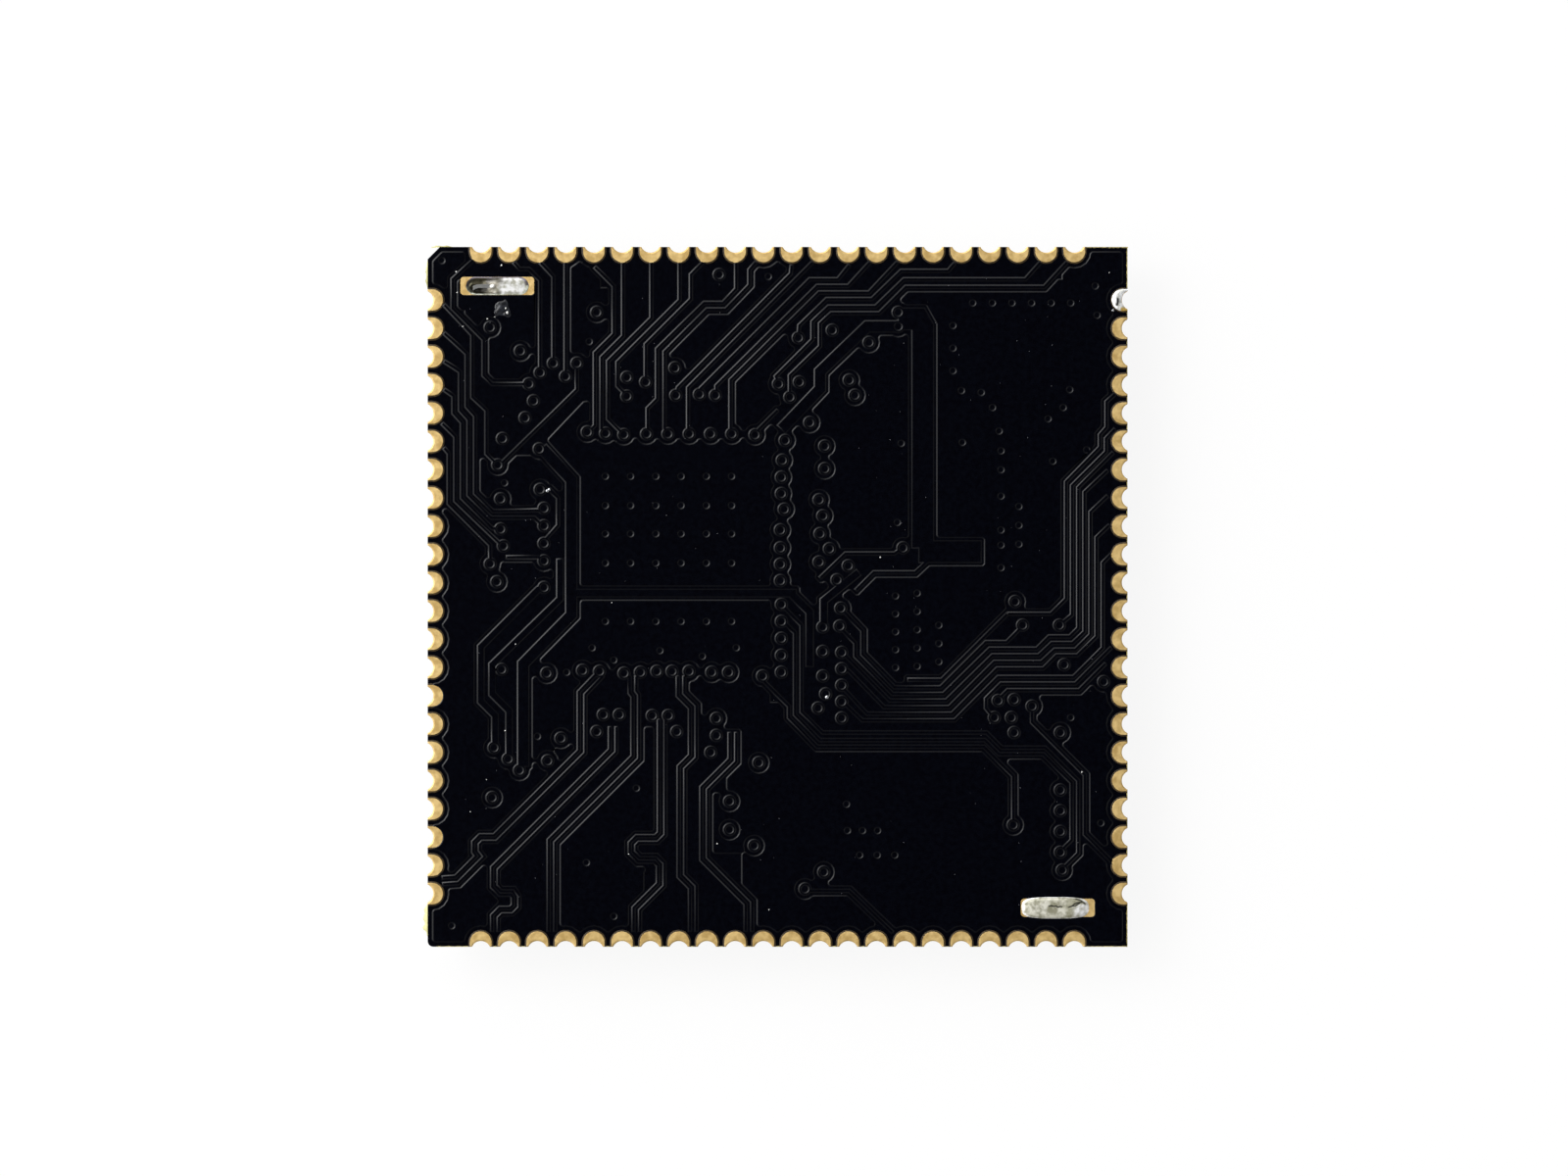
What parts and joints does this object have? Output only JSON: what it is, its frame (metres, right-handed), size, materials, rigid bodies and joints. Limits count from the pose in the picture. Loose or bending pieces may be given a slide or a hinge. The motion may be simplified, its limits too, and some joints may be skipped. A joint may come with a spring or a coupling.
{
  "type": "wifi module",
  "caption": "Square surface-mount wifi module with castellated pads on all four edges, seen from its masked solder side, with a soldered shield can below.",
  "frame": {"origin": "centre of the shield can's flat top, on which the module rests", "axes": "+Z from the shield can to the solder side, +Y towards the edge with the partly filled slot, +X to the right seen from the solder side"},
  "size_m": [0.0372, 0.0372, 0.0033],
  "materials": {
    "laminate": "satin",
    "solder_mask": "gloss",
    "masked_copper": "gloss",
    "gold_plating": "satin",
    "solder": "bright",
    "shield_metal": "satin",
    "package": "matt",
    "crystal_ceramic": "matt",
    "ferrite": "matt",
    "capacitor_body": "matt",
    "pale_ceramic": "matt"
  },
  "bodies": {
    "root": {"pcb_laminate": "laminate", "solder_side_mask": "solder_mask", "ground_layer": "masked_copper", "track_layer": "masked_copper", "component_side_mask": "solder_mask", "castellated_pads": "gold_plating", "tinned_pad_solder": "solder", "slot_plating": "gold_plating", "slot_solder_full": "solder", "slot_solder_part": "solder", "shield_can": "shield_metal", "shield_frame_land": "gold_plating", "processor": "package", "processor_joints": "solder", "memory_chip": "package", "memory_balls": "solder", "flash_chip": "package", "flash_joints": "solder", "radio_amplifier": "package", "radio_joints": "solder", "crystal_base": "crystal_ceramic", "crystal_lid": "shield_metal", "power_inductors": "ferrite", "inductor_joints": "solder", "capacitors": "capacitor_body", "resistors": "package", "chip_joints": "solder", "radio_filters": "pale_ceramic", "filter_joints": "solder"}
  },
  "joints": []
}
